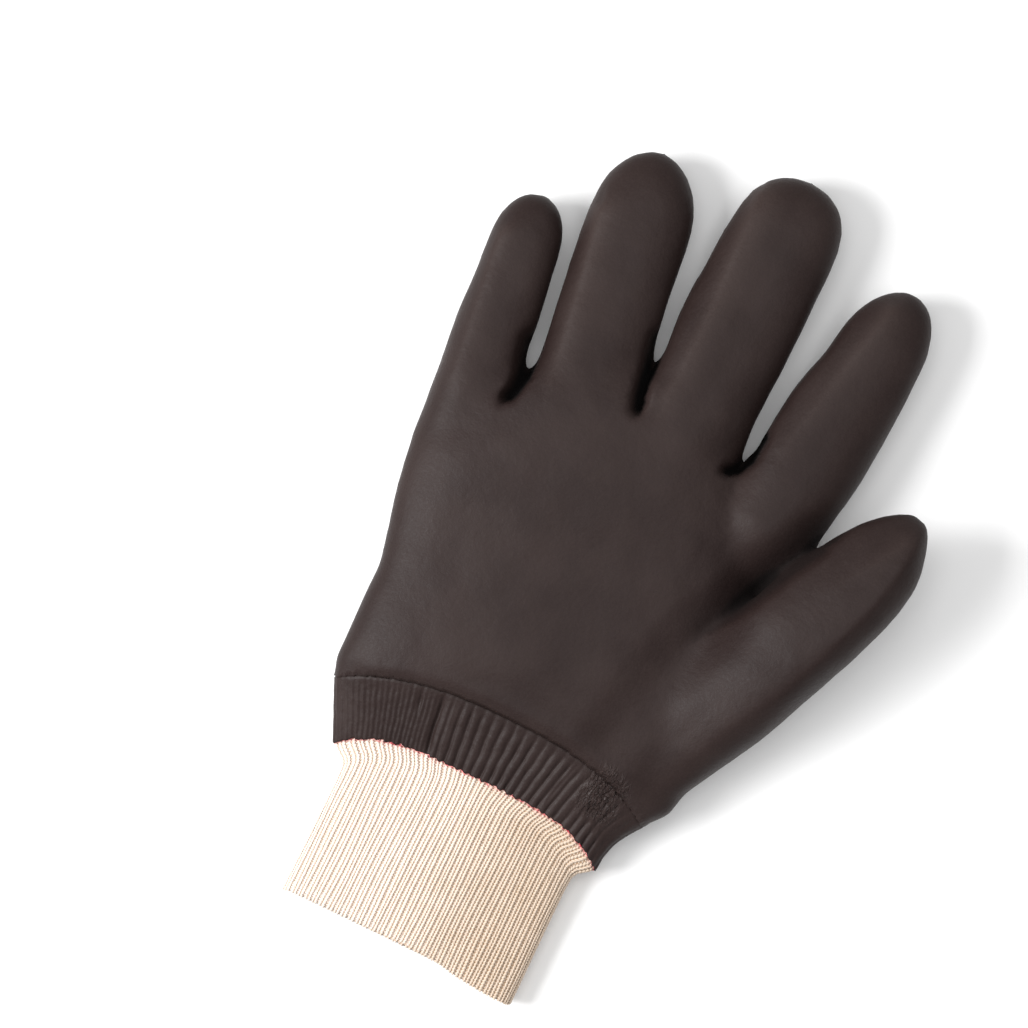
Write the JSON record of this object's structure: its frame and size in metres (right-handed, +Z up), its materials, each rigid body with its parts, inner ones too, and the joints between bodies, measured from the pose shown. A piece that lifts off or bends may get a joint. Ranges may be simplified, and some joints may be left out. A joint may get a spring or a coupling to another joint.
{
  "type": "pvc coated work glove",
  "caption": "Right-hand work glove with a seamless dipped plastic coat, a ribbed coated band and an open rib-knit wrist, lying palm up with its fingers slightly apart and hollow to the tips.",
  "frame": {"origin": "on the surface that the glove lies on, under the middle of its bounding box", "axes": "+Y from the knit wrist to the fingertips, +X to the thumb side, +Z up through the palm"},
  "size_m": [0.164, 0.2678, 0.0387],
  "materials": {
    "brown_plastic": "soft matte dark brown coat with a fine grain",
    "ribbed_plastic": "dark brown coat over ribbed knit, a little duller",
    "cream_knit": "undyed cream rib knit"
  },
  "bodies": {
    "root": {"coated_palm": "brown_plastic", "little_finger": "brown_plastic", "ring_finger": "brown_plastic", "middle_finger": "brown_plastic", "index_finger": "brown_plastic", "thumb": "brown_plastic", "coated_rib_band": "ribbed_plastic", "knit_wrist": "cream_knit"}
  },
  "joints": []
}
